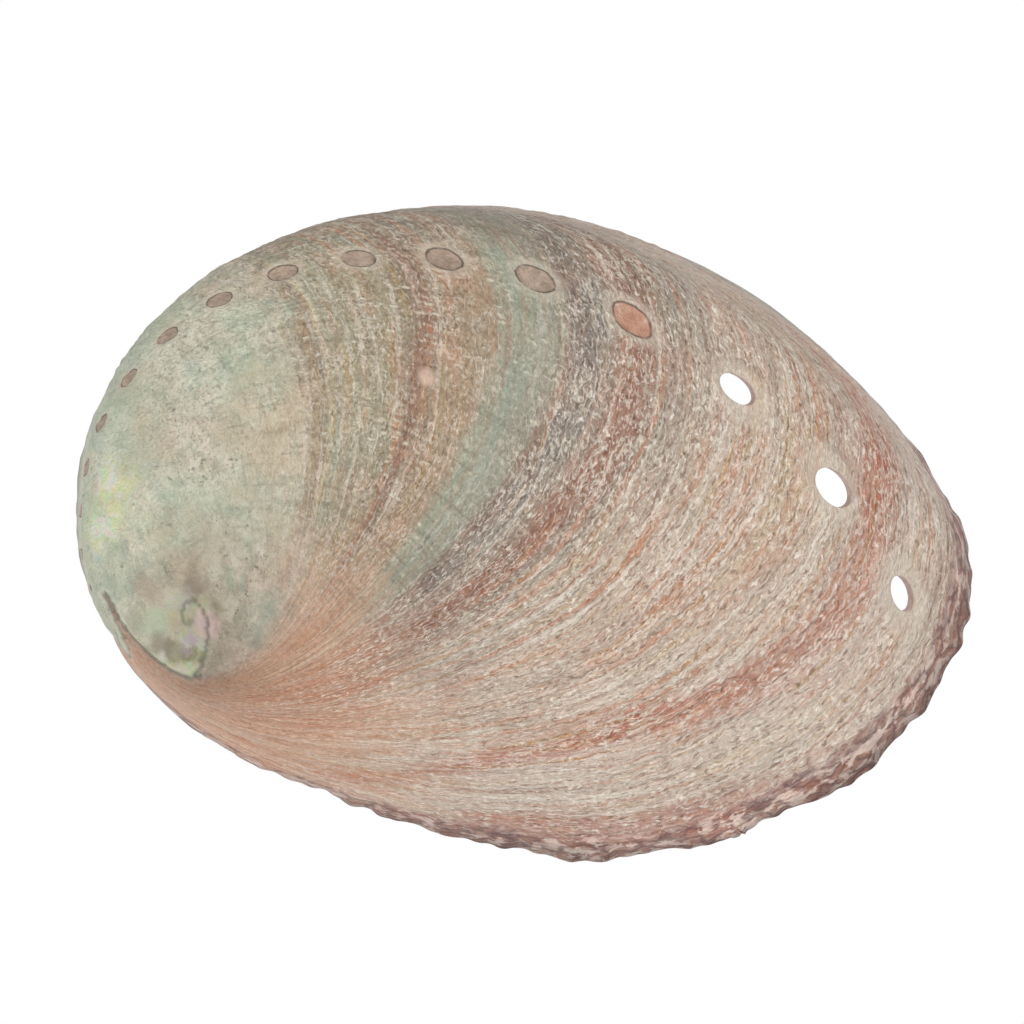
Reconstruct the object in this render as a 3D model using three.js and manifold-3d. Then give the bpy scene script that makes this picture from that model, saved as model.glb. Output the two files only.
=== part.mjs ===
// Abalone shell: one ear-shaped whorl opening out from a small spire, thin walled and hollow below,
// with a row of breathing pores of which the last three are open.
// Millimetres, +Z up, the rim of the opening on z = 0, +X towards the front end of the shell.
import * as THREE from 'three'
import Module from 'manifold-3d'

// Growth law: today's rim, shrunk and turned about the apex, gives every earlier rim.
const APEX = new THREE.Vector3(-31.5, -14.1, 16)
const COIL_AXIS = new THREE.Vector3(-0.39, -0.38, 1).normalize()
const GROWTH_PER_RADIAN = 0.44
const ARCH = 34 // how far a young whorl is lifted, faded in and out by the two rates
const ARCH_RATE_LATE = 0.8
const ARCH_RATE_EARLY = 1.4
const COIL_TURN = 540 // degrees of growth kept, from the rim back to the apex
const COIL_STEP = 6

// Rim outline in plan, clockwise seen from above, starting where the pore row meets it.
const RIM = [
  [43.6, -7.3], [39.5, -15.2], [31.5, -22.3], [17, -29.6], [0, -31], [-13, -29.3], [-23.5, -26.8],
  [-32.3, -22.6], [-38, -17.6], [-41.2, -10.4], [-42.3, -1.7], [-39.8, 7.8], [-33, 17.4], [-22.8, 25.6],
  [-10.5, 30.6], [3.5, 31.1], [17.7, 27.5], [30.6, 20], [40, 11.2], [44.6, 3.1],
]
const RIM_SIDES = 80

// Dome levels, as sight angles from the middle of the opening.
const CENTRE = new THREE.Vector3(1.5, -2, 0)
const LEVELS = 20

// Wall
const WALL = 1.7
const LIP = 1.3 // width of the outer lip where it touches the ground
const SHELF = 5.5 // width of the flat ledge inside the rim on the pore side
const SHELF_MIDDLE = 135 // degrees, direction of the widest part of the ledge
const SHELF_SPREAD = 85
const SHELF_TOP = 14 // degrees of sight angle by which the ledge has run back into the wall

// Open pores: place in plan, long and short diameter, direction of the long one in degrees.
const PORES = [
  { x: 37.9, y: 0.3, long: 3.9, short: 2.3, turn: -55 },
  { x: 29.4, y: 9.5, long: 4.8, short: 3.0, turn: -35 },
  { x: 18.4, y: 17.5, long: 4.3, short: 2.4, turn: -27 },
]
const PORE_SIDES = 20
const PORE_REACH = 40

const wasm = await Module()
wasm.setup()
const rad = THREE.MathUtils.degToRad

// Today's rim as a closed smooth curve, point i of `count`.
const rimCurve = new THREE.CatmullRomCurve3(
  RIM.map(([x, y]) => new THREE.Vector3(x, y, 0)), true, 'centripetal')
const rimPoints = (count) => Array.from({ length: count }, (_, i) => rimCurve.getPoint(i / count))

// The rim as it was `degrees` of growth ago.
function earlierRim(rim, degrees) {
  const back = rad(degrees)
  const lift = ARCH * (Math.exp(-ARCH_RATE_LATE * back) - Math.exp(-ARCH_RATE_EARLY * back))
  const scale = Math.exp(-GROWTH_PER_RADIAN * back)
  return rim.map((p) => {
    const q = p.clone().sub(APEX).applyAxisAngle(COIL_AXIS, back).multiplyScalar(scale).add(APEX)
    q.z += lift
    return q
  })
}

// The coiled skin as loose triangles, from the rim back to the apex.
function coilTriangles() {
  const rim = rimPoints(RIM_SIDES)
  const rings = []
  for (let d = 0; d <= COIL_TURN; d += COIL_STEP) rings.push(earlierRim(rim, d))
  const triangles = []
  for (let r = 0; r + 1 < rings.length; r++) {
    for (let i = 0; i < RIM_SIDES; i++) {
      const j = (i + 1) % RIM_SIDES
      const [a, b, c, d] = [rings[r][i], rings[r][j], rings[r + 1][j], rings[r + 1][i]]
      triangles.push([a, b, c], [a, c, d])
    }
  }
  return triangles
}

// Distance from the middle of the opening to the outermost skin in one direction.
function outermost(direction, triangles) {
  const ray = new THREE.Ray(CENTRE, direction)
  const hit = new THREE.Vector3()
  let far = 0
  for (const [a, b, c] of triangles) {
    if (ray.intersectTriangle(a, b, c, false, hit)) far = Math.max(far, hit.distanceTo(CENTRE))
  }
  return far
}

// Sight direction of column i (round the rim) and level j (0 at the rim).
function sight(rim, i, j) {
  const flat = rim[i].clone().sub(CENTRE).normalize()
  const up = rad(90 * (j / LEVELS))
  return new THREE.Vector3(flat.x * Math.cos(up), flat.y * Math.cos(up), Math.sin(up))
}

// Outer reach for every column and level, the last level being the single crown point.
function outerReach(rim) {
  const triangles = coilTriangles()
  const crown = outermost(new THREE.Vector3(0, 0, 1), triangles)
  return rim.map((p, i) => Array.from({ length: LEVELS + 1 }, (_, j) => {
    if (j === 0) return p.distanceTo(CENTRE)
    return j === LEVELS ? crown : outermost(sight(rim, i, j), triangles)
  }))
}

const place = (rim, reach) => (i, j) => sight(rim, i, j).multiplyScalar(reach[i][j]).add(CENTRE)

// Width of the flat underside at column i: a thin lip, broadening to the ledge on the pore side.
function footWidth(rim, i) {
  const out = rim[i].clone().sub(CENTRE)
  const off = THREE.MathUtils.radToDeg(Math.atan2(out.y, out.x)) - SHELF_MIDDLE
  const apart = Math.abs(((off + 540) % 360) - 180)
  return LIP + (SHELF - LIP) * (1 - THREE.MathUtils.smoothstep(apart, 0, SHELF_SPREAD))
}

// Inner reach: the outer skin brought in by the wall, and by the ledge near the ground.
function innerReach(rim, outer) {
  const at = place(rim, outer)
  const count = rim.length
  return outer.map((column, i) => column.map((reach, j) => {
    const foot = column[0] - footWidth(rim, i)
    if (j === 0) return foot
    if (j === LEVELS) return reach - WALL
    const around = at((i + 1) % count, j).sub(at((i + count - 1) % count, j))
    const upward = at(i, j + 1).sub(at(i, j - 1))
    const facing = Math.abs(around.cross(upward).normalize().dot(sight(rim, i, j)))
    const lowest = Math.min(reach, outer[(i + 1) % count][j], outer[(i + count - 1) % count][j])
    const wall = lowest - WALL / Math.max(facing, 0.6)
    const free = THREE.MathUtils.smoothstep(90 * (j / LEVELS), 0, SHELF_TOP)
    return Math.min(wall, THREE.MathUtils.lerp(foot, wall, free))
  }))
}

// Closed solid from the outer and inner domes, joined along the ground.
function shellSolid() {
  const rim = rimPoints(RIM_SIDES)
  const outer = outerReach(rim)
  const skins = [outer, innerReach(rim, outer)].map((reach) => place(rim, reach))
  const vertices = []
  const triangles = []
  const corner = (s, i, j) => (s * (RIM_SIDES * LEVELS + 1))
    + (j === LEVELS ? RIM_SIDES * LEVELS : j * RIM_SIDES + (i % RIM_SIDES))
  for (const at of skins) {
    for (let j = 0; j < LEVELS; j++) {
      for (let i = 0; i < RIM_SIDES; i++) vertices.push(...at(i, j).toArray())
    }
    vertices.push(...at(0, LEVELS).toArray())
  }
  const quad = (a, b, c, d) => triangles.push(a, b, c, a, c, d)
  for (let i = 0; i < RIM_SIDES; i++) {
    for (let j = 0; j + 1 < LEVELS; j++) {
      quad(corner(0, i + 1, j), corner(0, i, j), corner(0, i, j + 1), corner(0, i + 1, j + 1))
      quad(corner(1, i, j), corner(1, i + 1, j), corner(1, i + 1, j + 1), corner(1, i, j + 1))
    }
    const top = LEVELS - 1
    triangles.push(corner(0, i + 1, top), corner(0, i, top), corner(0, i, LEVELS))
    triangles.push(corner(1, i, top), corner(1, i + 1, top), corner(1, i, LEVELS))
    quad(corner(0, i, 0), corner(0, i + 1, 0), corner(1, i + 1, 0), corner(1, i, 0))
  }
  return solid(vertices, triangles)
}

function solid(vertices, triangles) {
  return new wasm.Manifold(new wasm.Mesh({
    numProp: 3, vertProperties: new Float32Array(vertices), triVerts: new Uint32Array(triangles),
  }))
}

// Upright oval plug that opens one pore.
function poreCutter({ x, y, long, short, turn }) {
  const vertices = []
  const triangles = []
  for (const z of [2, PORE_REACH]) {
    for (let i = 0; i < PORE_SIDES; i++) {
      const a = (2 * Math.PI * i) / PORE_SIDES
      const [u, v] = [(long / 2) * Math.cos(a), (short / 2) * Math.sin(a)]
      const [c, s] = [Math.cos(rad(turn)), Math.sin(rad(turn))]
      vertices.push(x + u * c - v * s, y + u * s + v * c, z)
    }
  }
  for (let i = 0; i < PORE_SIDES; i++) {
    const j = (i + 1) % PORE_SIDES
    triangles.push(i, j, PORE_SIDES + j, i, PORE_SIDES + j, PORE_SIDES + i)
    if (i > 0 && i < PORE_SIDES - 1) {
      triangles.push(0, i + 1, i, PORE_SIDES, PORE_SIDES + i, PORE_SIDES + i + 1)
    }
  }
  return solid(vertices, triangles)
}

function toGeometry(manifold) {
  const { vertProperties, triVerts, numProp } = manifold.getMesh()
  const positions = new Float32Array((vertProperties.length / numProp) * 3)
  for (let v = 0; v < positions.length / 3; v++) {
    for (let k = 0; k < 3; k++) positions[3 * v + k] = vertProperties[numProp * v + k]
  }
  const geometry = new THREE.BufferGeometry()
  geometry.setAttribute('position', new THREE.BufferAttribute(positions, 3))
  geometry.setIndex(new THREE.BufferAttribute(new Uint32Array(triVerts), 1))
  geometry.computeVertexNormals()
  return geometry
}

function abaloneShell() {
  let body = shellSolid()
  for (const pore of PORES) body = body.subtract(poreCutter(pore))
  const mesh = new THREE.Mesh(toGeometry(body), new THREE.MeshStandardMaterial({
    color: '#b39a86', roughness: 0.42, metalness: 0,
  }))
  mesh.name = 'abalone_shell'
  return mesh
}

const part = new THREE.Group()
part.name = 'abalone_shell_part'
part.add(abaloneShell())
export default part
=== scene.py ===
"""Abalone shell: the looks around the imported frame. Metres, +Z up, growing front end towards +X."""

import bisect
import math

import bmesh
import bpy
from mathutils import Matrix, Vector, noise
from mathutils.bvhtree import BVHTree


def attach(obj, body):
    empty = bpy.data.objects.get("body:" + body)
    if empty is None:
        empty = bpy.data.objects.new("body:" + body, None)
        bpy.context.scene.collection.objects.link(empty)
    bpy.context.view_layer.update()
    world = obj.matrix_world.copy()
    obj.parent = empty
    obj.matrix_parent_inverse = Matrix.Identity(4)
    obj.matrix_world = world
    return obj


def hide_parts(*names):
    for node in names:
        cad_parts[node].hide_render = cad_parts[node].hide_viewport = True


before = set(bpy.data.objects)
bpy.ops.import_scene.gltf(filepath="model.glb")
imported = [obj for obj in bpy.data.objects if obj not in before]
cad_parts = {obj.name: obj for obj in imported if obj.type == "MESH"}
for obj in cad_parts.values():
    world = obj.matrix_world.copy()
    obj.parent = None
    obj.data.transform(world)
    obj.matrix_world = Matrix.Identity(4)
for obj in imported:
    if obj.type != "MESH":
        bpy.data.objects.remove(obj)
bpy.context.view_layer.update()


MM = 0.001

# ---- growth law, the same as the solid's: every earlier rim is today's, shrunk and turned about the apex ----
APEX = Vector((-31.5, -14.1, 16.0))
COIL_AXIS = Vector((-0.39, -0.38, 1.0)).normalized()
GROWTH_PER_RADIAN = 0.44
ARCH = 34.0
ARCH_RATE_LATE = 0.8
ARCH_RATE_EARLY = 1.4
RIM = [
    (43.6, -7.3), (39.5, -15.2), (31.5, -22.3), (17, -29.6), (0, -31), (-13, -29.3), (-23.5, -26.8),
    (-32.3, -22.6), (-38, -17.6), (-41.2, -10.4), (-42.3, -1.7), (-39.8, 7.8), (-33, 17.4), (-22.8, 25.6),
    (-10.5, 30.6), (3.5, 31.1), (17.7, 27.5), (30.6, 20), (40, 11.2), (44.6, 3.1),
]
CENTRE = Vector((1.5, -2.0, 0.0))
DOME_HEIGHT = 22.6

COIL_TURN = 640  # degrees of growth followed back towards the apex
COIL_STEP = 2
RIM_SIDES = 360

# breathing pores: one every PORE_EVERY degrees of growth, all on the same spiral line
PORE_FIRST = 8.7
PORE_EVERY = 12.25
HEALED_LATE = 1.9  # the healed ones sit this much further back than the even step
PORES = 24
OPEN_PORES = 3
PORE_LINE = 0.003  # share of the rim's length
OPEN_PORE_CUTS = [  # place in plan, long and short diameter, direction of the long one
    (37.9, 0.3, 3.9, 2.3, -55), (29.4, 9.5, 4.8, 3.0, -35), (18.4, 17.5, 4.3, 2.4, -27),
]
PORE_LEAN = 11  # the pores run down and back, away from the growing end

# wall and foot
WALL = 1.7
LIP = 0.9
SHELF = 5.5
SHELF_MIDDLE = 135
SHELF_SPREAD = 85
SHELF_TOP = 14


def smoothstep(x, low, high):
    t = min(1.0, max(0.0, (x - low) / (high - low)))
    return t * t * (3 - 2 * t)


def mix(a, b, t):
    return a + (b - a) * t


# ---- the rim as a closed centripetal curve, stepped evenly along its length ----
def rim_by_length(count):
    fine = []
    n = len(RIM)
    for i in range(n):
        a, b, c, d = (Vector(RIM[(i + k) % n]) for k in (-1, 0, 1, 2))
        t0 = 0.0
        t1 = t0 + math.sqrt((b - a).length)
        t2 = t1 + math.sqrt((c - b).length)
        t3 = t2 + math.sqrt((d - c).length)
        for s in range(40):
            t = mix(t1, t2, s / 40)
            a1 = a.lerp(b, (t - t0) / (t1 - t0))
            a2 = b.lerp(c, (t - t1) / (t2 - t1))
            a3 = c.lerp(d, (t - t2) / (t3 - t2))
            b1 = a1.lerp(a2, (t - t0) / (t2 - t0))
            b2 = a2.lerp(a3, (t - t1) / (t3 - t1))
            fine.append(b1.lerp(b2, (t - t1) / (t2 - t1)))
    fine.append(fine[0])
    run = [0.0]
    for p, q in zip(fine, fine[1:]):
        run.append(run[-1] + (q - p).length)
    out, k = [], 0
    for i in range(count):
        want = run[-1] * i / count
        while run[k + 1] < want:
            k += 1
        out.append(fine[k].lerp(fine[k + 1], (want - run[k]) / (run[k + 1] - run[k])).to_3d())
    return out


RIM_LINE = rim_by_length(RIM_SIDES)


def grown(point, degrees):
    """Where a point of today's rim was, that many degrees of growth ago."""
    back = math.radians(degrees)
    q = Matrix.Rotation(back, 3, COIL_AXIS) @ (point - APEX)
    q = q * math.exp(-GROWTH_PER_RADIAN * back) + APEX
    q.z += ARCH * (math.exp(-ARCH_RATE_LATE * back) - math.exp(-ARCH_RATE_EARLY * back))
    return q


def coil_tree():
    verts, quads = [], []
    rings = COIL_TURN // COIL_STEP + 1
    for r in range(rings):
        verts += [grown(p, r * COIL_STEP) for p in RIM_LINE]
    for r in range(rings - 1):
        for i in range(RIM_SIDES):
            j = (i + 1) % RIM_SIDES
            quads.append((r * RIM_SIDES + i, r * RIM_SIDES + j, (r + 1) * RIM_SIDES + j, (r + 1) * RIM_SIDES + i))
    return BVHTree.FromPolygons(verts, quads), verts, quads


COIL, COIL_VERTS, COIL_QUADS = coil_tree()
COIL_REACH = 90.0


def in_quad(corners, p):
    """Rough place (along, across) of p in a nearly flat quad, both from 0 to 1."""
    a, b, c, d = corners
    u = v = 0.5
    for _ in range(3):
        q = a.lerp(b, u).lerp(d.lerp(c, u), v)
        du = b.lerp(c, v) - a.lerp(d, v)
        dv = d.lerp(c, u) - a.lerp(b, u)
        e = p - q
        uu, vv, uv = du.dot(du), dv.dot(dv), du.dot(dv)
        det = uu * vv - uv * uv
        if det < 1e-12:
            break
        u += (e.dot(du) * vv - e.dot(dv) * uv) / det
        v += (e.dot(dv) * uu - e.dot(du) * uv) / det
    return min(1.0, max(0.0, u)), min(1.0, max(0.0, v))


def outermost(direction):
    """Outer skin along a sight line from the middle of the opening: place, share round the rim, degrees of growth."""
    hit, _, quad, _ = COIL.ray_cast(CENTRE + direction * COIL_REACH, -direction)
    if hit is None or (hit - CENTRE).dot(direction) < 5:
        return None
    corners = [COIL_VERTS[k] for k in COIL_QUADS[quad]]
    u, v = in_quad(corners, hit)
    ring, i = divmod(COIL_QUADS[quad][0], RIM_SIDES)
    return hit, (i + u) / RIM_SIDES, (ring + v) * COIL_STEP


def rim_at(azimuth):
    """Rim point in the compass direction `azimuth` from the centre, with its share round the rim."""
    a = (RIM_AZ0 - azimuth) % math.tau  # the compass direction falls steadily as the share grows
    k = bisect.bisect_right(RIM_AZIMUTHS, a) - 1
    lo = RIM_AZIMUTHS[k]
    hi = RIM_AZIMUTHS[k + 1] if k + 1 < len(RIM_AZIMUTHS) else math.tau
    t = (a - lo) / (hi - lo) if hi > lo else 0.0
    p = RIM_LINE[k].lerp(RIM_LINE[(k + 1) % RIM_SIDES], t)
    return p, (k + t) / RIM_SIDES


RIM_AZ0 = math.atan2(*(RIM_LINE[0] - CENTRE).yx)
RIM_AZIMUTHS = [(RIM_AZ0 - math.atan2(*(p - CENTRE).yx)) % math.tau for p in RIM_LINE]


def foot_width(azimuth):
    off = math.degrees(azimuth) - SHELF_MIDDLE
    apart = abs((off + 540) % 360 - 180)
    return LIP + (SHELF - LIP) * (1 - smoothstep(apart, 0, SHELF_SPREAD))


def pore_field(share, degrees):
    """Nearest pore number and how far away it is, 1 being the pore's own edge."""
    u = (share + 0.5) % 1.0 - 0.5
    n = round((degrees - PORE_FIRST) / PORE_EVERY)
    n = min(PORES - 1, max(0, n))
    shift = 0.0003 * n if n < 12 else 0.004
    du = (u - PORE_LINE - shift) / 0.0105
    late = HEALED_LATE if n >= OPEN_PORES else 0.0
    dv = (degrees - PORE_FIRST - PORE_EVERY * n - late) / 2.8
    a = math.radians(-30)
    x = du * math.cos(a) - dv * math.sin(a)
    y = du * math.sin(a) + dv * math.cos(a)
    wob = 1 + 0.12 * noise.noise(Vector((3 * math.atan2(y, x) / math.pi, n * 7.1, 0)))
    return n, math.hypot(x * 0.92, y * 1.12) / wob


WARTS = [(0.107, 77.5, 0.009, 2.0), (0.082, 74.7, 0.003, 0.7)]  # share, degrees, and half sizes of both


def wart_field(share, degrees):
    u = (share + 0.5) % 1.0 - 0.5
    return min(math.hypot((u - wu) / su, (degrees - wd) / sd) for wu, wd, su, sd in WARTS)


def growing_lip(share):
    """1 along the growing side of the rim, falling to 0 where the rim is smooth."""
    u = (share + 0.5) % 1.0 - 0.5
    return smoothstep(u, -0.14, -0.08) * (1 - smoothstep(u, 0.30, 0.38))


def relief(share, degrees):
    """Height of the outer sculpture in mm: growth steps, creases, wrinkles, faint cords, scaly edge."""
    u = (share + 0.5) % 1.0 - 0.5
    size = math.exp(-GROWTH_PER_RADIAN * math.radians(degrees))
    wear = 1 - 0.75 * smoothstep(degrees, 95, 170)
    swell = 0.30 * noise.noise(Vector((u * 6, degrees * 0.09, 1.3)))
    step = 0.16 * noise.noise(Vector((u * 9, degrees * 0.33, 4.7)))
    crease = 0.13 * (1 - 2 * abs(noise.noise(Vector((u * 26, degrees * 0.7, 8.1)))))
    wrinkle = 0.12 * (1 - 2 * abs(noise.noise(Vector((u * 75, degrees * 0.75, 5.1)))))
    wave = 0.35 * noise.noise(Vector((u * 30, degrees * 0.05, 2.2)))
    corded = smoothstep(degrees, 56, 70) * (1 - smoothstep(degrees, 95, 120))
    cord = 0.04 * corded * math.sin(math.tau * (u * 165 + wave))
    scaly = 0.30 * growing_lip(share) * (1 - smoothstep(degrees, 0.6, 4.5)) * noise.noise(Vector((u * 60,
            degrees * 1.6, 3.3)))
    calm = 1 - 0.8 * (1 - growing_lip(share)) * (1 - smoothstep(degrees, 1, 7))
    return (swell + step + wear * (crease + wrinkle + cord) + scaly) * calm * mix(0.35, 1.0, size)


GRID_X = 300
GRID_Y = 216
INNER_SHARE = 2  # the smooth inner face has one step for this many outside


def disc_place(x, y):
    """Square grid place (-1..1) spread over a round dome: radius share and compass direction."""
    dx = x * math.sqrt(1 - y * y / 2)
    dy = y * math.sqrt(1 - x * x / 2)
    return min(1.0, math.hypot(dx, dy)), math.atan2(dy, dx)


def sight_line(rho, azimuth):
    rim, share = rim_at(azimuth)
    reach = (rim - CENTRE).length
    flat = (rim - CENTRE) / reach
    arc = math.asin(min(1.0, rho))
    d = flat * (reach * math.sin(arc)) + Vector((0, 0, DOME_HEIGHT * math.cos(arc)))
    return d.normalized(), rim, share


def outer_point(rho, azimuth):
    d, rim, share = sight_line(rho, azimuth)
    if rho > 0.9995:
        return rim.copy(), share, 0.0
    found = outermost(d)
    if found is None:  # the tip of the coil, closed over
        return CENTRE + d * ((APEX - CENTRE).length - 1.0), 0.0, float(COIL_TURN)
    return found


SPIRE_FROM = 225  # degrees of growth where the worn coil begins
SEAM_REACH = 12  # steps of the grid on each side of a seam
SEAM_PASSES = 260
SEAM_SOFTEN = 30
POLISHED = 6.0  # mm round the apex where the spire is rubbed smooth


def fill_seams(bm, growth, suture):
    """Lime has filled the seams of the coil almost flush: hollows are raised to the level round them."""
    bm.verts.index_update()
    reach = [(v.co - CENTRE).length for v in bm.verts]
    worn = {v for v in bm.verts if v[growth] > SPIRE_FROM or v[suture] > 0.9}
    for _ in range(SEAM_REACH):
        worn |= {e.other_vert(v) for v in worn for e in v.link_edges}
    worn = sorted((v for v in worn if not v.is_boundary), key=lambda v: v.index)
    near = [(v.index, [e.other_vert(v).index for e in v.link_edges]) for v in worn]
    for _ in range(SEAM_PASSES):
        for i, others in near:
            level = sum(reach[k] for k in others) / len(others)
            if level > reach[i]:
                reach[i] = level
    tip = {v.index for v in worn if (v.co - APEX).to_2d().length < POLISHED}
    for _ in range(SEAM_SOFTEN):
        for i, others in near:
            if i not in tip:
                continue
            reach[i] = sum(reach[k] for k in others) / len(others)
    for v in worn:
        v.co = CENTRE + (v.co - CENTRE).normalized() * reach[v.index]


def outer_dome():
    """Skin of the back as a square grid blown out onto the coil, with growth place kept on every corner."""
    bm = bmesh.new()
    bmesh.ops.create_grid(bm, x_segments=GRID_X, y_segments=GRID_Y, size=1.0)
    around = bm.verts.layers.float.new("around")
    growth = bm.verts.layers.float.new("growth")
    pore = bm.verts.layers.float.new("pore")
    pore_no = bm.verts.layers.float.new("pore_no")
    wart = bm.verts.layers.float.new("wart")
    suture = bm.verts.layers.float.new("suture")
    for v in bm.verts:
        rho, az = disc_place(v.co.x, v.co.y)
        p, share, deg = outer_point(rho, az)
        v.co = p
        v[around] = share
        v[growth] = deg
        n, away = pore_field(share, deg)
        v[pore] = away
        v[pore_no] = n
        v[wart] = wart_field(share, deg)
    for e in bm.edges:
        a, b = e.verts
        if abs(a[growth] - b[growth]) > 60:
            older = a if a[growth] > b[growth] else b
            older[suture] = 1.0
    for _ in range(2):
        spread = {v: max([v[suture]] + [0.55 * e.other_vert(v)[suture] for e in v.link_edges]) for v in bm.verts}
        for v, value in spread.items():
            v[suture] = value
    fill_seams(bm, growth, suture)
    bm.normal_update()
    shift = {}
    for v in bm.verts:
        share, deg = v[around], v[growth]
        h = relief(share, deg)
        away, n = v[pore], v[pore_no]
        halo = smoothstep(away, 0.9, 1.25) * (1 - smoothstep(away, 1.3, 2.0))
        size = math.exp(-GROWTH_PER_RADIAN * math.radians(deg))
        if n >= OPEN_PORES:
            well = 1 - smoothstep(away, 0.75, 1.1)
            groove = math.exp(-((away - 1.0) / 0.12) ** 2)
            h = mix(h, 0.0, well) - size * (0.30 * well + 0.18 * groove) + 0.18 * size * halo
        else:
            h = mix(h, 0.12, 1 - smoothstep(away, 1.0, 1.6)) + 0.25 * size * halo
        h += 0.45 * size * (1 - smoothstep(v[wart], 0.2, 1.1))
        h -= 0.14 * v[suture]
        if v.is_boundary:
            h = 0.0
        shift[v] = v.normal * h
    for v, s in shift.items():
        v.co += s
    for v in bm.verts:
        if v.is_boundary:
            out = (v.co - CENTRE)
            out.z = 0
            u = (v[around] + 0.5) % 1.0 - 0.5
            out.normalize()
            lip = mix(0.1, 1.0, growing_lip(v[around]))
            v.co += out * lip * (0.7 * noise.noise(Vector((u * 38, 0.3, 5.5))) + 0.4 * noise.noise(Vector((u * 150,
                    2.3, 5.5))))
            v.co.z = 0.0
        v.co.z = max(v.co.z, 0.0)
    return bm


def inner_dome():
    bm = bmesh.new()
    bmesh.ops.create_grid(
        bm, x_segments=GRID_X // INNER_SHARE, y_segments=GRID_Y // INNER_SHARE, size=1.0)
    for v in bm.verts:
        rho, az = disc_place(v.co.x, v.co.y)
        d, rim, _ = sight_line(rho, az)
        foot = (rim - CENTRE).length - foot_width(az)
        lift = math.degrees(math.asin(max(0.0, min(1.0, d.z))))
        if rho > 0.9995:
            v.co = CENTRE + d * foot
            v.co.z = 0.0
            continue
        around = [outer_point(min(1.0, max(0.0, rho + a)), az + b)[0]
                  for a, b in ((0, 0), (0.012, 0), (-0.012, 0), (0, 0.03), (0, -0.03))]
        reach = min((p - CENTRE).length for p in around)
        n = (around[1] - around[2]).cross(around[3] - around[4])
        facing = abs(n.normalized().dot(d)) if n.length > 1e-9 else 1.0
        wall = reach - WALL / max(facing, 0.6)
        free = smoothstep(lift, 0, SHELF_TOP)
        v.co = CENTRE + d * min(wall, mix(foot, wall, free))
    bmesh.ops.smooth_vert(bm, verts=[v for v in bm.verts if not v.is_boundary], factor=0.5,
                          use_axis_x=True, use_axis_y=True, use_axis_z=True)
    bmesh.ops.reverse_faces(bm, faces=bm.faces)
    return bm


BACK, LINING = 0, 1


def shell_body():
    """Back, foot and lining as one closed skin; each corner of the back keeps its place in the growth."""
    outer, inner = outer_dome(), inner_dome()
    mesh = bpy.data.meshes.new("lining_part")
    inner.to_mesh(mesh)
    inner.free()
    back_faces = set(outer.faces)
    outer.from_mesh(mesh)
    bpy.data.meshes.remove(mesh)
    edges = [e for e in outer.edges if e.is_boundary]
    bmesh.ops.bridge_loops(outer, edges=edges)
    for f in outer.faces:
        f.material_index = BACK if f in back_faces else LINING
    # growth map: share round the rim across, degrees of growth upwards
    uv = outer.loops.layers.uv.new("growth_map")
    around = outer.verts.layers.float["around"]
    growth = outer.verts.layers.float["growth"]
    for f in outer.faces:
        if f.material_index != BACK:
            for loop in f.loops:
                loop[uv].uv = (loop.vert.co.x / 100, loop.vert.co.y / 100)
            continue
        us = [(loop.vert[around] + 0.5) % 1.0 - 0.5 for loop in f.loops]
        for loop, u in zip(f.loops, us):
            if max(us) - min(us) > 0.5 and u < 0:
                u += 1.0
            loop[uv].uv = (u, loop.vert[growth] / 100)
    for f in outer.faces:
        f.smooth = True
    bmesh.ops.scale(outer, vec=(MM, MM, MM), verts=outer.verts)
    data = bpy.data.meshes.new("abalone_shell_skin")
    outer.to_mesh(data)
    outer.free()
    obj = bpy.data.objects.new("abalone_shell_skin", data)
    bpy.context.scene.collection.objects.link(obj)
    return obj


def cut_open_pores(shell):
    """The last pores go right through: oval plugs are taken out of the skin."""
    for x, y, long, short, turn in OPEN_PORE_CUTS:
        bm = bmesh.new()
        bmesh.ops.create_cone(bm, cap_ends=True, segments=36, radius1=0.5, radius2=0.5, depth=1.0)
        bmesh.ops.scale(bm, vec=(long * MM, short * MM, 30 * MM), verts=bm.verts)
        bmesh.ops.rotate(bm, matrix=Matrix.Rotation(math.radians(turn), 3, "Z"), verts=bm.verts)
        bmesh.ops.rotate(bm, matrix=Matrix.Rotation(math.radians(PORE_LEAN), 3, "Y"), verts=bm.verts)
        skin = COIL.ray_cast(Vector((x, y, COIL_REACH)), Vector((0, 0, -1)))[0]
        bmesh.ops.translate(bm, vec=skin * MM, verts=bm.verts)
        data = bpy.data.meshes.new("pore_plug")
        bm.to_mesh(data)
        bm.free()
        plug = bpy.data.objects.new("pore_plug", data)
        bpy.context.scene.collection.objects.link(plug)
        cut = shell.modifiers.new("pore", "BOOLEAN")
        cut.operation = "DIFFERENCE"
        cut.solver = "MANIFOLD"
        cut.object = plug
        with bpy.context.temp_override(object=shell, active_object=shell):
            bpy.ops.object.modifier_apply(modifier=cut.name)
        bpy.data.objects.remove(plug)
        bpy.data.meshes.remove(data)


# ---- materials ----
def linear(hexa):
    def one(c):
        return c / 12.92 if c <= 0.04045 else ((c + 0.055) / 1.055) ** 2.4
    return [one(int(hexa[i:i + 2], 16) / 255) for i in (1, 3, 5)] + [1.0]


MATHS, RAMP, MIX, EASED = "ShaderNodeMath", "ShaderNodeValToRGB", "ShaderNodeMix", "ShaderNodeMapRange"
NOISE = "ShaderNodeTexNoise"
COLOUR_MIX_INPUTS = (0, 6, 7)  # share, under, over
COLOUR_MIX_OUTPUT = 2


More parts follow.
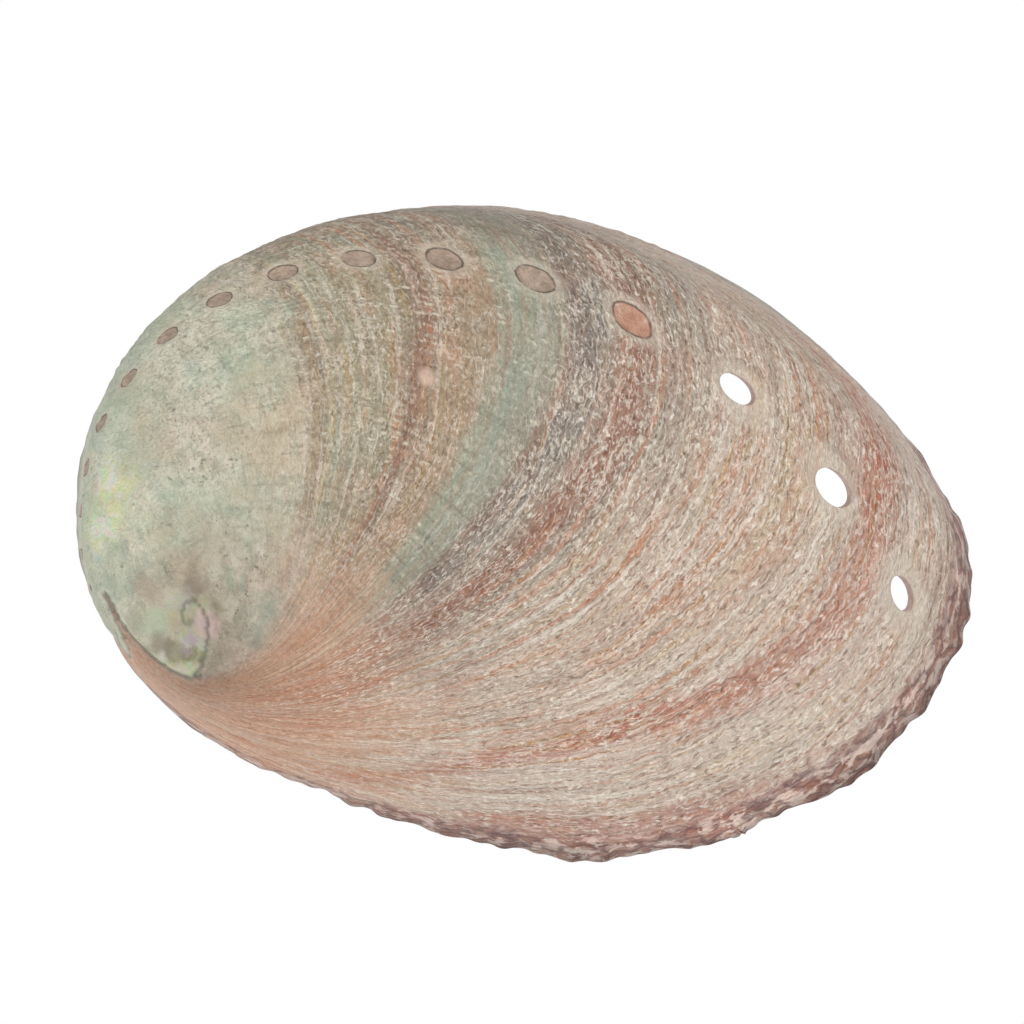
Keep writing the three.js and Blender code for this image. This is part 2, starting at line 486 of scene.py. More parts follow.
def add(tree, kind, *inputs, stops=(), named=(), **settings):
    """One node with its settings. Inputs come in order, each a value, a colour, a node or one of a node's outputs."""
    node = tree.nodes.new(kind)
    for name, value in settings.items():
        setattr(node, name, value)
    if stops:
        while len(node.color_ramp.elements) < len(stops):
            node.color_ramp.elements.new(0.5)
        for element, (place, tone) in zip(node.color_ramp.elements, stops):
            element.position = place
            element.color = linear(tone) if isinstance(tone, str) else (tone, tone, tone, 1)
    order = COLOUR_MIX_INPUTS if kind == MIX else range(len(inputs))
    for place, value in list(zip(order, inputs)) + list(dict(named).items()):
        socket = node.inputs[place]
        if isinstance(value, bpy.types.Node):
            value = value.outputs[COLOUR_MIX_OUTPUT if value.bl_idname == MIX else 0]
        if isinstance(value, bpy.types.NodeSocket):
            tree.links.new(value, socket)
        elif isinstance(value, str):
            socket.default_value = linear(value)
        elif value is not None:
            plain = socket.type == "RGBA" and isinstance(value, (int, float))
            socket.default_value = (value, value, value, 1) if plain else value
    return node


# Growth bands by degrees of growth. Each list is one stretch of the shell, from the rim back to the apex.
SPAN = 300.0
TURNOVER = 80.0  # where the young list hands over to the old one
BANDS_BACK = [
    (0, "#b58c7d"), (1.5, "#b08474"), (3, "#b79d8d"), (4.5, "#c5b3a4"), (8, "#c8b7a7"), (11, "#c5b0a2"),
    (13, "#bb8f7e"), (14.3, "#b57d68"), (16, "#bfa191"), (18, "#c4b19f"), (21, "#c3b1a0"), (23.5, "#bb9f8b"),
    (26, "#bfab97"), (30, "#bea593"), (35, "#b5a393"), (40, "#b6a797"), (43, "#a49385"), (45.5, "#a28475"),
    (47.5, "#9d7a69"), (49.5, "#a08d80"), (51.5, "#a39b90"), (54, "#988a80"), (55.8, "#937a6d"), (57.2, "#a3a395"),
    (60, "#a4a99a"), (63, "#9faa9a"), (65.5, "#a5a590"), (67, "#ac977f"), (71, "#af987c"), (75, "#a5917a"),
    (78.2, "#95755f"), (80, "#a0957f"),
]
BANDS_OLD = [
    (80, "#a0957f"), (83, "#a49b80"), (86, "#a89f84"), (89, "#a79f83"), (92, "#a3a086"), (95.4, "#a3a088"),
    (96.4, "#c4bc98"), (97.4, "#8f7f6c"), (99.5, "#a39479"), (102, "#b0a691"), (105, "#bab7a1"), (110, "#c4c3ad"),
    (122, "#c3c5b0"), (134, "#c6c1ab"), (146, "#cfcbb8"), (160, "#d4d3be"), (175, "#d5d5b9"), (190, "#d5cfb5"),
    (205, "#c8c2ad"), (225, "#d0cbb6"), (240, "#c8bda6"), (260, "#c4bba3"), (280, "#cec2ac"), (300, "#cdc1ac"),
]
BANDS_FAN = [
    (0, "#b48a72"), (3, "#b98f78"), (6, "#bd957c"), (10, "#c1a088"), (16, "#c4a38a"), (25, "#c6a78b"),
    (31, "#c7a78e"), (38, "#c1a28c"), (43, "#bd967e"), (47, "#bd9881"), (51, "#b8977f"), (54, "#bea58f"),
    (56, "#c1ae9e"), (60, "#c1a792"), (66, "#bfa18b"), (72, "#ba9d86"), (78, "#c3ab9a"), (86, "#c3b1a0"),
    (97, "#c3b1a1"), (115, "#bdab9b"), (146, "#ab9e8b"), (170, "#aa9f8b"), (200, "#aca38e"), (230, "#bdb29d"),
    (260, "#c4bca7"), (300, "#c2baa6"),
]
# Shoulder tones, read off the steep upper side: its own colour with the shade of the slope painted in (painted
# shade).
BANDS_SHADED_SHOULDER = [
    (0, "#b08f80"), (2.5, "#ae8b7c"), (5, "#c6b5a5"), (10, "#c6b3a6"), (12.5, "#bf9a88"), (14.5, "#b48671"),
    (17, "#b99e8f"), (22, "#bfab99"), (27, "#b9a592"), (32, "#b39e8b"), (38, "#a99a8c"), (42, "#9b8e80"),
    (45.5, "#8d7a6b"), (49, "#8e8073"), (51.5, "#97907f"), (54, "#8c7e6f"), (57, "#99968a"), (63, "#959384"),
    (66, "#a09687"), (70, "#968d7c"), (75, "#928576"), (80, "#9d9682"), (86, "#8f8d78"), (92, "#909481"),
    (97, "#a69b87"), (101, "#bbb6a2"), (108, "#b0ae99"), (125, "#b1b09f"), (150, "#b8b4a4"), (180, "#b8b1a4"),
    (210, "#a79e90"), (250, "#b09d88"),
]


def at(bands, low=0.0, high=SPAN):
    return [((d - low) / (high - low), colour) for d, colour in bands]


# stains and painted sheen on the spire (the pale spots are painted highlights of the polish): place in plan and half
# size in mm, tone, strength
SPIRE_STAINS_AND_SHEEN = [
    (-31.2, -10.6, 1.3, "#a08e7f", 0.7), (-34.4, -14.6, 1.7, "#b9cfae", 0.5), (-29.6, -13.8, 1.8, "#e6c3c0", 0.75),
    (-28.5, -12.1, 1.0, "#8d8263", 0.7), (-33.6, -16.9, 1.2, "#8b816f", 0.65), (-31.9, -17.3, 1.2, "#8b816a", 0.65),
            (-30.1, -16.9, 1.0, "#8a8059", 0.7),
    (-30.7, -15.9, 0.9, "#c4abc0", 0.6), (-36.6, -14.6, 1.0, "#9c9b80", 0.5), (-36.0, -11.6, 1.5, "#a8927f", 0.5),
            (-32.6, -12.2, 1.5, "#ddd6c9", 0.5),
]


def back_material():
    """Worn outer shell layer: chalky lime with growth colours, softly glossy where sea and hands rubbed it."""
    mat = bpy.data.materials.new("worn_outer_shell_layer")
    mat.use_nodes = True
    t = mat.node_tree
    t.nodes.clear()
    split = add(t, "ShaderNodeSeparateXYZ", add(t, "ShaderNodeUVMap", uv_map="growth_map"))
    around, growth = split.outputs[0], add(t, MATHS, split.outputs[1], 100.0, operation="MULTIPLY")
    where = add(t, "ShaderNodeTexCoord").outputs["Object"]
    pore = add(t, "ShaderNodeAttribute", attribute_name="pore").outputs["Fac"]
    pore_no = add(t, "ShaderNodeAttribute", attribute_name="pore_no").outputs["Fac"]
    wart = add(t, "ShaderNodeAttribute", attribute_name="wart").outputs["Fac"]
    suture = add(t, "ShaderNodeAttribute", attribute_name="suture").outputs["Fac"]

    def lump(scale, detail=4, rough=0.6, twist=0.0):
        """Noise in the solid shell, scale in lumps per metre."""
        return add(t, NOISE, where,
                   named={"Scale": scale, "Detail": detail, "Roughness": rough, "Distortion": twist})

    # growth length: degrees of growth squeezed so that a step is about as long on old shell as on young
    length = add(t, MATHS, add(t, MATHS, 1.0, add(t, MATHS, 0.99235, growth, operation="POWER"),
            operation="SUBTRACT"), 0.768, operation="DIVIDE")
    wander = add(t, NOISE, where, named={"Scale": 650.0, "Detail": 3, "Roughness": 0.6})
    apart = add(t, "ShaderNodeSeparateColor", wander.outputs["Color"])
    off_around = add(t, MATHS, add(t, MATHS, apart.outputs[0], 0.5, operation="SUBTRACT"), 0.006,
                     operation="MULTIPLY")
    off_growth = add(t, MATHS, add(t, MATHS, apart.outputs[1], 0.5, operation="SUBTRACT"), 0.009,
                     operation="MULTIPLY")
    skin = add(t, "ShaderNodeCombineXYZ", add(t, MATHS, around, off_around, operation="ADD"),
               add(t, MATHS, length, off_growth, operation="ADD"))

    def streak(scale_around, scale_growth, detail=3, rough=0.6, seed=0.0):
        """Noise drawn out along the growth lines: lumps round the rim, and lumps per hundred degrees."""
        mapping = add(t, "ShaderNodeMapping", skin,
                      named={"Location": (seed, seed * 0.7, 0), "Scale": (scale_around, scale_growth, 1)})
        return add(t, NOISE, mapping, named={"Scale": 1.0, "Detail": detail, "Roughness": rough})

    def zone(*stops):
        """Strength by degrees of growth."""
        return add(t, RAMP, whole, stops=[(d / SPAN, s) for d, s in stops])

    def lay(strength, mask, under, over, kind="MIX"):
        """A coat of colour over the one before, as thick as its mask says."""
        return add(t, MIX, add(t, MATHS, mask, strength, operation="MULTIPLY"), under, over, data_type="RGBA",
                blend_type=kind)

    def overlap(*masks):
        """Strong only where every mask is strong."""
        out = masks[0]
        for mask in masks[1:]:
            out = add(t, MATHS, out, mask, operation="MULTIPLY")
        return out

    # bands dip towards the middle of the back and climb to the rim below it; frayed edges
    dip = add(t, MATHS, add(t, EASED, around, 0.05, 0.17, None, 4.0, interpolation_type="SMOOTHSTEP"),
            add(t, MATHS, 1.0, add(t, EASED, growth, 62, 100, None, 0.75, interpolation_type="SMOOTHSTEP"),
            operation="SUBTRACT"), operation="MULTIPLY")
    climb = add(t, MATHS, add(t, EASED, around, 0.2, 0.34, None, 14.0, interpolation_type="SMOOTHSTEP"),
            add(t, MATHS, 1.0, add(t, EASED, growth, 15, 50, interpolation_type="SMOOTHSTEP"), operation="SUBTRACT"),
            operation="MULTIPLY")
    fray = add(t, MATHS, add(t, MATHS, add(t, MATHS, streak(9, 5, 3), 0.5, operation="SUBTRACT"), 2.4,
            operation="MULTIPLY"), add(t, MATHS, add(t, MATHS, streak(120, 60, 3, 0.7, 3.1), 0.5,
            operation="SUBTRACT"), 4.2, operation="MULTIPLY"), operation="ADD")
    degree = add(t, MATHS, add(t, MATHS, add(t, MATHS, growth, dip, operation="SUBTRACT"), climb, operation="ADD"),
            fray, operation="ADD")
    young = add(t, MATHS, degree, TURNOVER, operation="DIVIDE", use_clamp=True)
    old = add(t, MATHS, add(t, MATHS, degree, TURNOVER, operation="SUBTRACT"), SPAN - TURNOVER, operation="DIVIDE",
            use_clamp=True)
    whole = add(t, MATHS, degree, SPAN, operation="DIVIDE", use_clamp=True)
    is_old = add(t, MATHS, degree, TURNOVER, operation="GREATER_THAN")
    main = add(t, MIX, is_old, add(t, RAMP, young, stops=at(BANDS_BACK, 0, TURNOVER)),
            add(t, RAMP, old, stops=at(BANDS_OLD, TURNOVER, SPAN)), data_type="RGBA", blend_type="MIX")
    side = add(t, MATHS, around, add(t, MATHS, add(t, MATHS, streak(14, 8, 3, 0.6, 5.0), 0.5, operation="SUBTRACT"),
            0.09, operation="MULTIPLY"), operation="ADD")
    colour = add(t, MIX, add(t, EASED, side, 0.22, 0.34, interpolation_type="SMOOTHSTEP"), main,
            add(t, RAMP, whole, stops=at(BANDS_FAN)), data_type="RGBA", blend_type="MIX")
    # the steep upper side takes the shoulder tones, part own colour, part painted shade of the slope
    colour = add(t, MIX, add(t, EASED, side, 0.0, -0.035, interpolation_type="SMOOTHSTEP"), colour,
            add(t, RAMP, whole, stops=at(BANDS_SHADED_SHOULDER)), data_type="RGBA", blend_type="MIX")

    busy = add(t, MATHS, 1.0, add(t, EASED, side, 0.18, 0.32, None, 0.7, interpolation_type="SMOOTHSTEP"),
            operation="SUBTRACT")  # the fan below the spire is smoother

    colour = lay(1.0, zone((36, 0.0), (42, 1.0), (58, 1.0), (66, 0.8), (80, 0.9), (104, 0.0)), colour, "#e6e1db",
            "MULTIPLY")

    # soft blotches of warm and cool tone, a few millimetres across
    blotch = streak(26, 26, 3, 0.6, 21.0)
    colour = lay(0.42, overlap(add(t, RAMP, blotch, stops=[(0.5, 0.0), (0.7, 1.0)]),
            zone((0, 1.0), (55, 1.0), (58, 0.15), (65, 0.15), (70, 1.0), (100, 0.7), (300, 0.4))), colour, "#c4937a")
    haze = streak(11, 22, 3, 0.6, 71.0)
    colour = lay(0.40, overlap(add(t, RAMP, haze, stops=[(0.52, 0.0), (0.68, 1.0)]),
            zone((0, 0.6), (30, 1.0), (55, 0.6), (58, 0.1), (65, 0.1), (70, 0.4), (300, 0.2)), busy), colour,
            "#a08a80")
    colour = lay(0.34, overlap(add(t, RAMP, haze, stops=[(0.32, 1.0), (0.46, 0.0)]),
            zone((0, 0.7), (55, 0.5), (58, 0.05), (65, 0.05), (70, 0.5), (100, 0.6), (300, 0.4))), colour, "#ccb58e")
    colour = lay(0.34, overlap(add(t, RAMP, blotch, stops=[(0.3, 1.0), (0.46, 0.0)]),
            zone((0, 0.4), (40, 1.0), (100, 0.8), (300, 0.4)), busy), colour, "#96998a")

    # long thin growth streaks: rust, ochre, slate, chalk
    long_rust = streak(6, 105, 3, 0.66, 7.9)
    colour = lay(0.76, overlap(add(t, RAMP, long_rust, stops=[(0.52, 0.0), (0.62, 1.0)]),
            zone((0, 0.4), (6, 0.8), (30, 1.0), (44, 0.9), (57, 0.3), (66, 0.3), (78, 0.7), (100, 0.35), (120, 0.0))),
            colour, "#b87b5b")
    long_ochre = streak(8, 95, 3, 0.66, 12.3)
    colour = lay(0.60, overlap(add(t, RAMP, long_ochre, stops=[(0.56, 0.0), (0.66, 1.0)]),
            zone((0, 0.7), (25, 1.0), (60, 0.4), (90, 0.9), (120, 0.3))), colour, "#ad8748")
    long_dark = streak(8, 130, 3, 0.7, 1.7)
    colour = lay(0.60, overlap(add(t, RAMP, long_dark, stops=[(0.34, 1.0), (0.46, 0.0)]),
            zone((0, 1.0), (56, 1.0), (60, 0.4), (66, 0.8), (100, 0.8), (160, 0.4), (300, 0.3)), busy), colour,
            "#7f6353")
    long_pale = streak(8, 120, 3, 0.7, 81.0)
    colour = lay(0.70, overlap(add(t, RAMP, long_pale, stops=[(0.54, 0.0), (0.66, 1.0)]),
            zone((0, 1.0), (55, 1.0), (58, 0.3), (65, 0.3), (69, 0.8), (100, 0.8), (160, 0.3), (300, 0.2))), colour,
            "#e0d4c6")

    # flecks inside the strong bands
    fleck = streak(70, 150, 3, 0.75, 15.0)
    red_band = zone((0, 0.0), (11.5, 0.0), (13.2, 1.0), (15, 1.0), (17, 0.0))
    broken = add(t, RAMP, streak(7, 3, 3, 0.6, 51.0), stops=[(0.40, 0.0), (0.58, 1.0)])
    colour = lay(0.85, overlap(add(t, RAMP, fleck, stops=[(0.46, 0.0), (0.58, 1.0)]), red_band, broken), colour,
            "#a65840")
    rust_band = zone((43.5, 0.0), (45.5, 1.0), (48, 1.0), (49.5, 0.0), (77, 0.0), (78, 0.8), (79, 0.0))
    colour = lay(0.7, overlap(add(t, RAMP, fleck, stops=[(0.44, 0.0), (0.56, 1.0)]), rust_band,
            add(t, EASED, side, 0.3, 0.22, interpolation_type="SMOOTHSTEP")), colour, "#8a5540")
    slate_band = zone((49.5, 0.0), (51.5, 0.7), (54.5, 1.0), (56.5, 0.0))
    colour = lay(0.8, overlap(add(t, RAMP, streak(60, 120, 3, 0.75, 33.0), stops=[(0.42, 0.0), (0.58, 1.0)]),
            slate_band, add(t, EASED, side, 0.28, 0.2, interpolation_type="SMOOTHSTEP")), colour, "#6e6661")

    # short chalky wrinkles along the growth lines, dense and white on the young shell
    chalk = streak(230, 330, 3, 0.65, 4.4)
    chalk_patch = add(t, RAMP, lump(420.0, 2), stops=[(0.36, 0.35), (0.6, 1.0)])
    colour = lay(0.76, overlap(add(t, RAMP, chalk, stops=[(0.53, 0.0), (0.62, 1.0)]), chalk_patch,
                            zone((0, 1.0), (55, 1.0), (57.5, 0.25), (64, 0.3), (68, 0.6), (100, 0.7), (140, 0.3),
                                    (300, 0.15))), colour, "#ebe3d8")
    worm = streak(125, 150, 2, 0.5, 61.0)
    worm_patch = add(t, RAMP, lump(300.0, 2), stops=[(0.4, 0.1), (0.58, 1.0)])
    colour = lay(0.52, overlap(add(t, RAMP, worm, stops=[(0.455, 0.0), (0.485, 1.0), (0.515, 1.0), (0.545, 0.0)]),
            worm_patch,
                            zone((0, 1.0), (56, 1.0), (60, 0.3), (68, 0.7), (110, 0.8), (200, 0.7), (300, 0.2))),
                                    colour, "#e4dbcd")
    pit = streak(200, 290, 3, 0.65, 44.0)
    colour = lay(0.72, overlap(add(t, RAMP, pit, stops=[(0.35, 1.0), (0.46, 0.0)]),
            zone((0, 1.0), (55, 1.0), (58, 0.3), (64, 0.3), (70, 0.8), (110, 0.7), (300, 0.4)), busy), colour,
            "#9c8474", "MULTIPLY")

    # cords crossed by growth lines: rows of pale beads and soft furrows
    cell = add(t, "ShaderNodeMapping", skin, named={"Scale": (150, 68, 1)})
    beads = add(t, "ShaderNodeTexVoronoi", cell, feature="F1", named={"Scale": 1.0, "Randomness": 0.6})
    bead_on = overlap(add(t, RAMP, beads, stops=[(0.16, 1.0), (0.3, 0.0)]),
            add(t, RAMP, streak(10, 9, 3, 0.6, 9.0), stops=[(0.42, 0.0), (0.56, 1.0)]),
                   zone((0, 0.1), (36, 0.3), (58, 0.8), (84, 1.0), (100, 0.8), (130, 0.2)))
    colour = lay(0.62, bead_on, colour, "#dcd6be")
    cord = streak(190, 5, 3, 0.6, 27.0)
    colour = lay(0.35, overlap(add(t, RAMP, cord, stops=[(0.34, 1.0), (0.5, 0.0)]),
            zone((30, 0.2), (56, 1.0), (110, 1.0), (160, 0.3))), colour, "#a39a86", "MULTIPLY")

    # red-brown patch with white specks below the spire
    below = overlap(add(t, EASED, around, 0.255, 0.29, interpolation_type="SMOOTHSTEP"),
            add(t, MATHS, 1.0, add(t, EASED, around, 0.36, 0.4, interpolation_type="SMOOTHSTEP"),
            operation="SUBTRACT"), zone((24, 0.0), (36, 1.0), (50, 1.0), (60, 0.0)))
    colour = lay(0.60, overlap(below, add(t, RAMP, streak(24, 60, 3, 0.7, 91.0), stops=[(0.42, 0.0), (0.58, 1.0)])),
            colour, "#a4674b")
    specks = streak(210, 210, 2, 0.6, 95.0)
    colour = lay(0.9, overlap(below, add(t, RAMP, specks, stops=[(0.56, 0.0), (0.62, 1.0)])), colour, "#f0e6da")

    # peach glaze over the smooth fan
    fan = add(t, EASED, side, 0.23, 0.37, interpolation_type="SMOOTHSTEP")
    colour = lay(0.52, overlap(fan, zone((0, 1.0), (70, 1.0), (110, 0.3), (300, 0.2))), colour, "#dba886")
    colour = lay(0.35, overlap(fan, zone((90, 0.0), (120, 1.0), (300, 1.0))), colour, "#d3cab6")
    thread = streak(5, 150, 3, 0.65, 111.0)
    colour = lay(0.55, overlap(fan, add(t, RAMP, thread, stops=[(0.52, 0.0), (0.60, 1.0)]),
            zone((0, 1.0), (60, 1.0), (100, 0.2))), colour, "#bd6f49")
    colour = lay(0.45, overlap(fan, add(t, RAMP, thread, stops=[(0.38, 1.0), (0.45, 0.0)]),
            zone((0, 1.0), (60, 1.0), (120, 0.5))), colour, "#ecd5be")

    # worn old part: mottling and pearl showing through
    grain = lump(2300.0, 3, 0.7)
    colour = add(t, MIX, 1.0, colour, add(t, RAMP, grain, stops=[(0.3, 0.80), (0.7, 1.16)]), data_type="RGBA",
            blend_type="MULTIPLY")
    mottle = lump(560.0, 5, 0.72, 0.4)
    colour = lay(0.52, overlap(add(t, RAMP, mottle, stops=[(0.34, 1.0), (0.48, 0.0)]),
            zone((70, 0.1), (100, 0.8), (230, 1.0), (250, 0.2))), colour, "#7f7663")
    colour = lay(0.72, overlap(add(t, RAMP, mottle, stops=[(0.50, 0.0), (0.62, 1.0)]),
            zone((90, 0.1), (110, 0.8), (230, 0.9), (250, 0.3))), colour, "#dcd7c4")
    pepper = lump(1500.0, 3, 0.6)
    colour = lay(0.70, overlap(add(t, RAMP, pepper, stops=[(0.32, 1.0), (0.4, 0.0)]),
            add(t, RAMP, lump(170.0, 3), stops=[(0.44, 0.0), (0.56, 1.0)]),
                            zone((100, 0.0), (120, 1.0), (210, 1.0), (235, 0.0))), colour, "#5d5645")
    tan = lump(140.0, 5, 0.65)
    colour = lay(0.45, overlap(add(t, RAMP, tan, stops=[(0.5, 0.0), (0.60, 1.0)]),
            zone((90, 0.0), (110, 1.0), (240, 0.9), (300, 0.3))), colour, "#b8a183")
    colour = lay(0.45, overlap(add(t, RAMP, tan, stops=[(0.36, 1.0), (0.46, 0.0)]),
            zone((85, 0.0), (105, 1.0), (240, 0.8), (300, 0.2))), colour, "#a0b3a2")
    sea = lump(55.0, 4)
    colour = lay(0.42, overlap(add(t, RAMP, sea, stops=[(0.44, 0.0), (0.58, 1.0)]),
            zone((96, 0.0), (112, 1.0), (300, 0.8)), busy), colour, "#9fb79f")
    pearl_strip = overlap(add(t, EASED, around, 0.045, 0.075, interpolation_type="SMOOTHSTEP"),
            add(t, MATHS, 1.0, add(t, EASED, around, 0.13, 0.17, interpolation_type="SMOOTHSTEP"),
            operation="SUBTRACT"),
                       zone((152, 0.0), (162, 1.0), (186, 1.0), (196, 0.0)))
    pearl_here = add(t, MATHS, add(t, MATHS, pearl_strip, add(t, RAMP, lump(420.0, 4),
            stops=[(0.38, 0.3), (0.55, 1.0)]), operation="MULTIPLY"), add(t, MATHS,
            zone((205, 0.0), (240, 0.7), (300, 0.8)), add(t, RAMP, lump(150.0, 4), stops=[(0.42, 0.1), (0.56, 1.0)]),
            operation="MULTIPLY"), operation="ADD", use_clamp=True)
    pearl = add(t, RAMP, lump(300.0, 3, 0.6, 1.2), stops=[(0.3, "#dcb9c0"), (0.40, "#e6e1d6"), (0.48, "#bfe0ae"),
            (0.55, "#e0dd9a"), (0.63, "#e8e3da"), (0.72, "#afd3c6")])
    colour = lay(0.65, pearl_here, colour, pearl)

    # stains and painted sheen on the polished spire (the pale spots are painted highlights), each round its own place
    wobble = add(t, MATHS, add(t, MATHS, lump(500.0, 4), 0.5, operation="SUBTRACT"), 4.2 * MM, operation="MULTIPLY")
    plan = add(t, "ShaderNodeVectorMath", where, (1, 1, 0), operation="MULTIPLY")
    for x, y, size, tone, strength in SPIRE_STAINS_AND_SHEEN:
        away = add(t, "ShaderNodeVectorMath", plan, (x * MM, y * MM, 0), operation="DISTANCE").outputs["Value"]
        spot = add(t, EASED, add(t, MATHS, away, wobble, operation="ADD"), size * 1.35 * MM, size * 0.35 * MM,
                interpolation_type="SMOOTHSTEP")
        colour = lay(strength, overlap(spot, zone((170, 0.0), (200, 1.0))), colour, tone)
    colour = lay(0.40, add(t, RAMP, suture, stops=[(0.2, 0.0), (0.34, 1.0), (0.6, 0.0)]), colour, "#ddd2c4")
    colour = lay(0.52, overlap(add(t, RAMP, suture, stops=[(0.56, 0.0), (0.95, 1.0)]),
            add(t, RAMP, lump(300.0, 3), stops=[(0.35, 0.35), (0.55, 1.0)])), colour, "#75645f")

    # pores: pale halo, dark outline, brown healed filling
    reach = add(t, MATHS, pore, 3.0, operation="DIVIDE", use_clamp=True)
    healed = add(t, MATHS, pore_no, OPEN_PORES - 0.5, operation="GREATER_THAN")
    colour = lay(0.5, add(t, RAMP, reach, stops=[(0.36, 1.0), (0.6, 0.0)]), colour, "#cdc1b0")
    fill_tone = add(t, RAMP, mottle, stops=[(0.36, "#84705f"), (0.52, "#a58f7e"), (0.66, "#b9a190")])
    first_fill = add(t, MATHS, pore_no, OPEN_PORES + 0.5, operation="LESS_THAN")
    fill_tone = add(t, MIX, first_fill, fill_tone, add(t, RAMP, mottle,
            stops=[(0.36, "#b07a60"), (0.52, "#bd9079"), (0.66, "#cdb09c")]), data_type="RGBA", blend_type="MIX")
    colour = lay(0.9, overlap(add(t, RAMP, reach, stops=[(0.31, 1.0), (0.345, 0.0)]), healed), colour, fill_tone)
    colour = lay(0.9, overlap(add(t, RAMP, reach, stops=[(0.29, 0.0), (0.325, 1.0), (0.355, 0.0)]), healed,
            add(t, RAMP, lump(600.0, 2), stops=[(0.35, 0.25), (0.5, 1.0)])), colour, "#382c26")

    # two small grown-over barnacle scars
    colour = lay(0.75, add(t, RAMP, wart, stops=[(0.5, 1.0), (1.0, 0.0)]), colour, "#d3b5a3")

    # scaly growing edge: pink-brown scales between dark mauve creases
    scale_cell = add(t, "ShaderNodeMapping", skin, named={"Scale": (95, 95, 1)})
    creases = add(t, "ShaderNodeTexVoronoi", scale_cell, feature="DISTANCE_TO_EDGE", named={"Scale": 1.0})
    on_edge = add(t, RAMP, add(t, MATHS, add(t, MATHS, growth, add(t, MATHS, fray, 0.5, operation="MULTIPLY"),
            operation="ADD"), 6.0, operation="DIVIDE", use_clamp=True), stops=[(0.0, 1.0), (0.42, 1.0), (0.62, 0.0)])
    colour = lay(0.60, overlap(on_edge, add(t, RAMP, streak(34, 34, 3, 0.7, 101.0),
            stops=[(0.38, 0.0), (0.52, 1.0)])), colour, "#9b5a47")
    colour = lay(0.72, overlap(on_edge, add(t, RAMP, creases, stops=[(0.0, 1.0), (0.14, 0.0)])), colour, "#5e3f40")
    colour = lay(0.82, overlap(on_edge, add(t, RAMP, streak(100, 100, 3, 0.65, 105.0),
            stops=[(0.5, 0.0), (0.58, 1.0)])), colour, "#e8cfc2")
    edge_line = add(t, RAMP, add(t, MATHS, add(t, MATHS, growth, fray, operation="ADD"), 6.0, operation="DIVIDE",
            use_clamp=True), stops=[(0.3, 0.0), (0.45, 1.0), (0.6, 0.0)])
    colour = lay(0.6, overlap(edge_line, add(t, RAMP, streak(40, 40, 3, 0.6, 6.0), stops=[(0.4, 0.0), (0.58, 1.0)])),
            colour, "#5a3b42")

    # the low skirt away from the growing lip is plain worn lime
    low = add(t, EASED, add(t, "ShaderNodeSeparateXYZ", where).outputs[2], 5.5 * MM, 3.2 * MM,
            interpolation_type="SMOOTHSTEP")
    away_side = add(t, MATHS, add(t, EASED, around, -0.12, -0.2, interpolation_type="SMOOTHSTEP"),
            add(t, EASED, around, 0.42, 0.48, interpolation_type="SMOOTHSTEP"), operation="ADD", use_clamp=True)
    colour = lay(0.9, overlap(low, away_side), colour, add(t, RAMP, mottle,
            stops=[(0.36, "#94887a"), (0.52, "#aa9f8e"), (0.66, "#c2b9a6")]))

    # fine sculpture too small for the mesh
    height = add(t, MATHS, add(t, MATHS, chalk, 0.9, operation="MULTIPLY"),
            add(t, MATHS, pit, 0.6, operation="MULTIPLY"), operation="ADD")
    height = add(t, MATHS, height, add(t, MATHS, bead_on, 0.4, operation="MULTIPLY"), operation="ADD")
    height = add(t, MATHS, height, add(t, MATHS, long_dark, 0.6, operation="MULTIPLY"), operation="ADD")
    height = add(t, MATHS, height, add(t, MATHS, grain, 0.4, operation="MULTIPLY"), operation="ADD")
    bump = add(t, "ShaderNodeBump", named={"Height": height, "Strength": 0.85, "Distance": 0.42 * MM})
    gloss = add(t, RAMP, mottle, stops=[(0.3, 0.38), (0.7, 0.55)])
    shader = add(t, "ShaderNodeBsdfPrincipled", named={
        "Base Color": colour, "Roughness": gloss, "Normal": bump, "IOR": 1.5, "Specular IOR Level": 0.4,
        "Coat Weight": 0.08, "Coat Roughness": 0.35})
    add(t, "ShaderNodeOutputMaterial", shader)
    return mat


def lining_material():
    """Mother of pearl: thin stacked plates that throw back pink, green and silver."""
    mat = bpy.data.materials.new("mother_of_pearl_lining")
    mat.use_nodes = True
    t = mat.node_tree
    t.nodes.clear()
    where = add(t, "ShaderNodeTexCoord").outputs["Object"]
    mapping = add(t, "ShaderNodeMapping", where, named={"Rotation": (0, 0, 0.5), "Scale": (38, 75, 60)})
    swirl = add(t, NOISE, mapping, named={"Scale": 1.0, "Detail": 5, "Roughness": 0.6, "Distortion": 1.4})
    colour = add(t, RAMP, swirl, stops=[
        (0.28, "#b8a8b8"), (0.38, "#d3c0cb"), (0.46, "#d9dcd2"), (0.53, "#b9d6c6"), (0.6, "#cfd8c0"),
        (0.68, "#d8bfca"), (0.78, "#a9c3cc")])
    ripple = add(t, NOISE, where, named={"Scale": 420.0, "Detail": 4})
    bump = add(t, "ShaderNodeBump", named={"Height": ripple, "Strength": 0.25, "Distance": 0.3 * MM})
    shader = add(t, "ShaderNodeBsdfPrincipled", named={
        "Base Color": colour, "Normal": bump, "Roughness": 0.22, "Metallic": 0.25, "IOR": 1.6,
        "Coat Weight": 0.5, "Coat Roughness": 0.12})
    add(t, "ShaderNodeOutputMaterial", shader)
    return mat


shell = shell_body()
shell.data.materials.append(back_material())
shell.data.materials.append(lining_material())
cut_open_pores(shell)
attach(shell, "root")
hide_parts("abalone_shell")


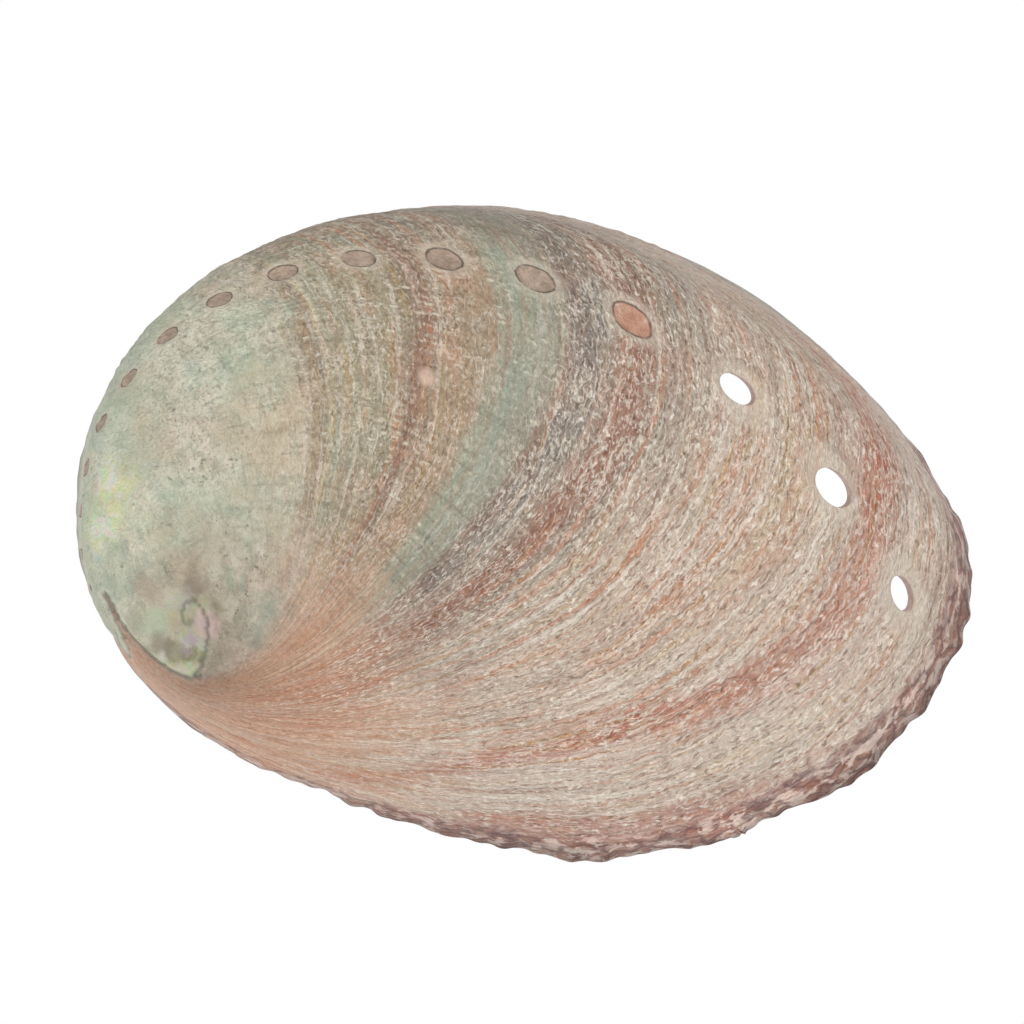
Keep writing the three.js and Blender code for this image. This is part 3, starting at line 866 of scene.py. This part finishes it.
# ---- stage ----
def floor():
    bm = bmesh.new()
    bmesh.ops.create_grid(bm, x_segments=1, y_segments=1, size=1.5)
    data = bpy.data.meshes.new("pale_floor")
    bm.to_mesh(data)
    bm.free()
    obj = bpy.data.objects.new("pale_floor", data)
    obj.location.z = -0.2 * MM
    bpy.context.scene.collection.objects.link(obj)
    mat = bpy.data.materials.new("white_light_table")
    mat.use_nodes = True
    t = mat.node_tree
    t.nodes.clear()
    glow = add(t, "ShaderNodeEmission", "#ffffff", 1.0)
    clear = add(t, "ShaderNodeBsdfTransparent")
    from_below = add(t, "ShaderNodeNewGeometry").outputs["Backfacing"]
    add(t, "ShaderNodeOutputMaterial", add(t, "ShaderNodeMixShader", from_below, glow, clear))
    obj.data.materials.append(mat)


def area_light(name, place, aim, size, power):
    data = bpy.data.lights.new(name, "AREA")
    data.size = size
    data.energy = power
    obj = bpy.data.objects.new(name, data)
    obj.location = place
    obj.rotation_euler = (Vector(aim) - Vector(place)).to_track_quat("-Z", "Y").to_euler()
    bpy.context.scene.collection.objects.link(obj)


floor()
area_light("key", (0.13, 0.145, 0.57), (0, 0, 0.01), 0.25, 1.4)
area_light("fill", (-0.22, -0.26, 0.5), (0, 0, 0.01), 0.3, 1.35)
world = bpy.data.worlds.new("studio")
world.use_nodes = True
world.node_tree.nodes["Background"].inputs[0].default_value = (1, 1, 1, 1)
world.node_tree.nodes["Background"].inputs[1].default_value = 0.64
bpy.context.scene.world = world
bpy.context.scene.view_settings.view_transform = "Standard"

# ---- camera: straight down, as the shell is turned in the frame ----
TURN = math.radians(9.5)
FRAME_WIDTH = 0.10165
AIM = Vector((-1.5, 1.9, 0.0)) * MM
LENS = 800.0
camera_data = bpy.data.cameras.new("camera")
camera_data.lens = LENS
camera_data.sensor_width = 36.0
camera = bpy.data.objects.new("camera", camera_data)
HEIGHT = FRAME_WIDTH * LENS / 36.0
camera.location = (AIM.x, AIM.y, HEIGHT)
camera.rotation_euler = (0, 0, TURN)
bpy.context.scene.collection.objects.link(camera)
bpy.context.scene.camera = camera
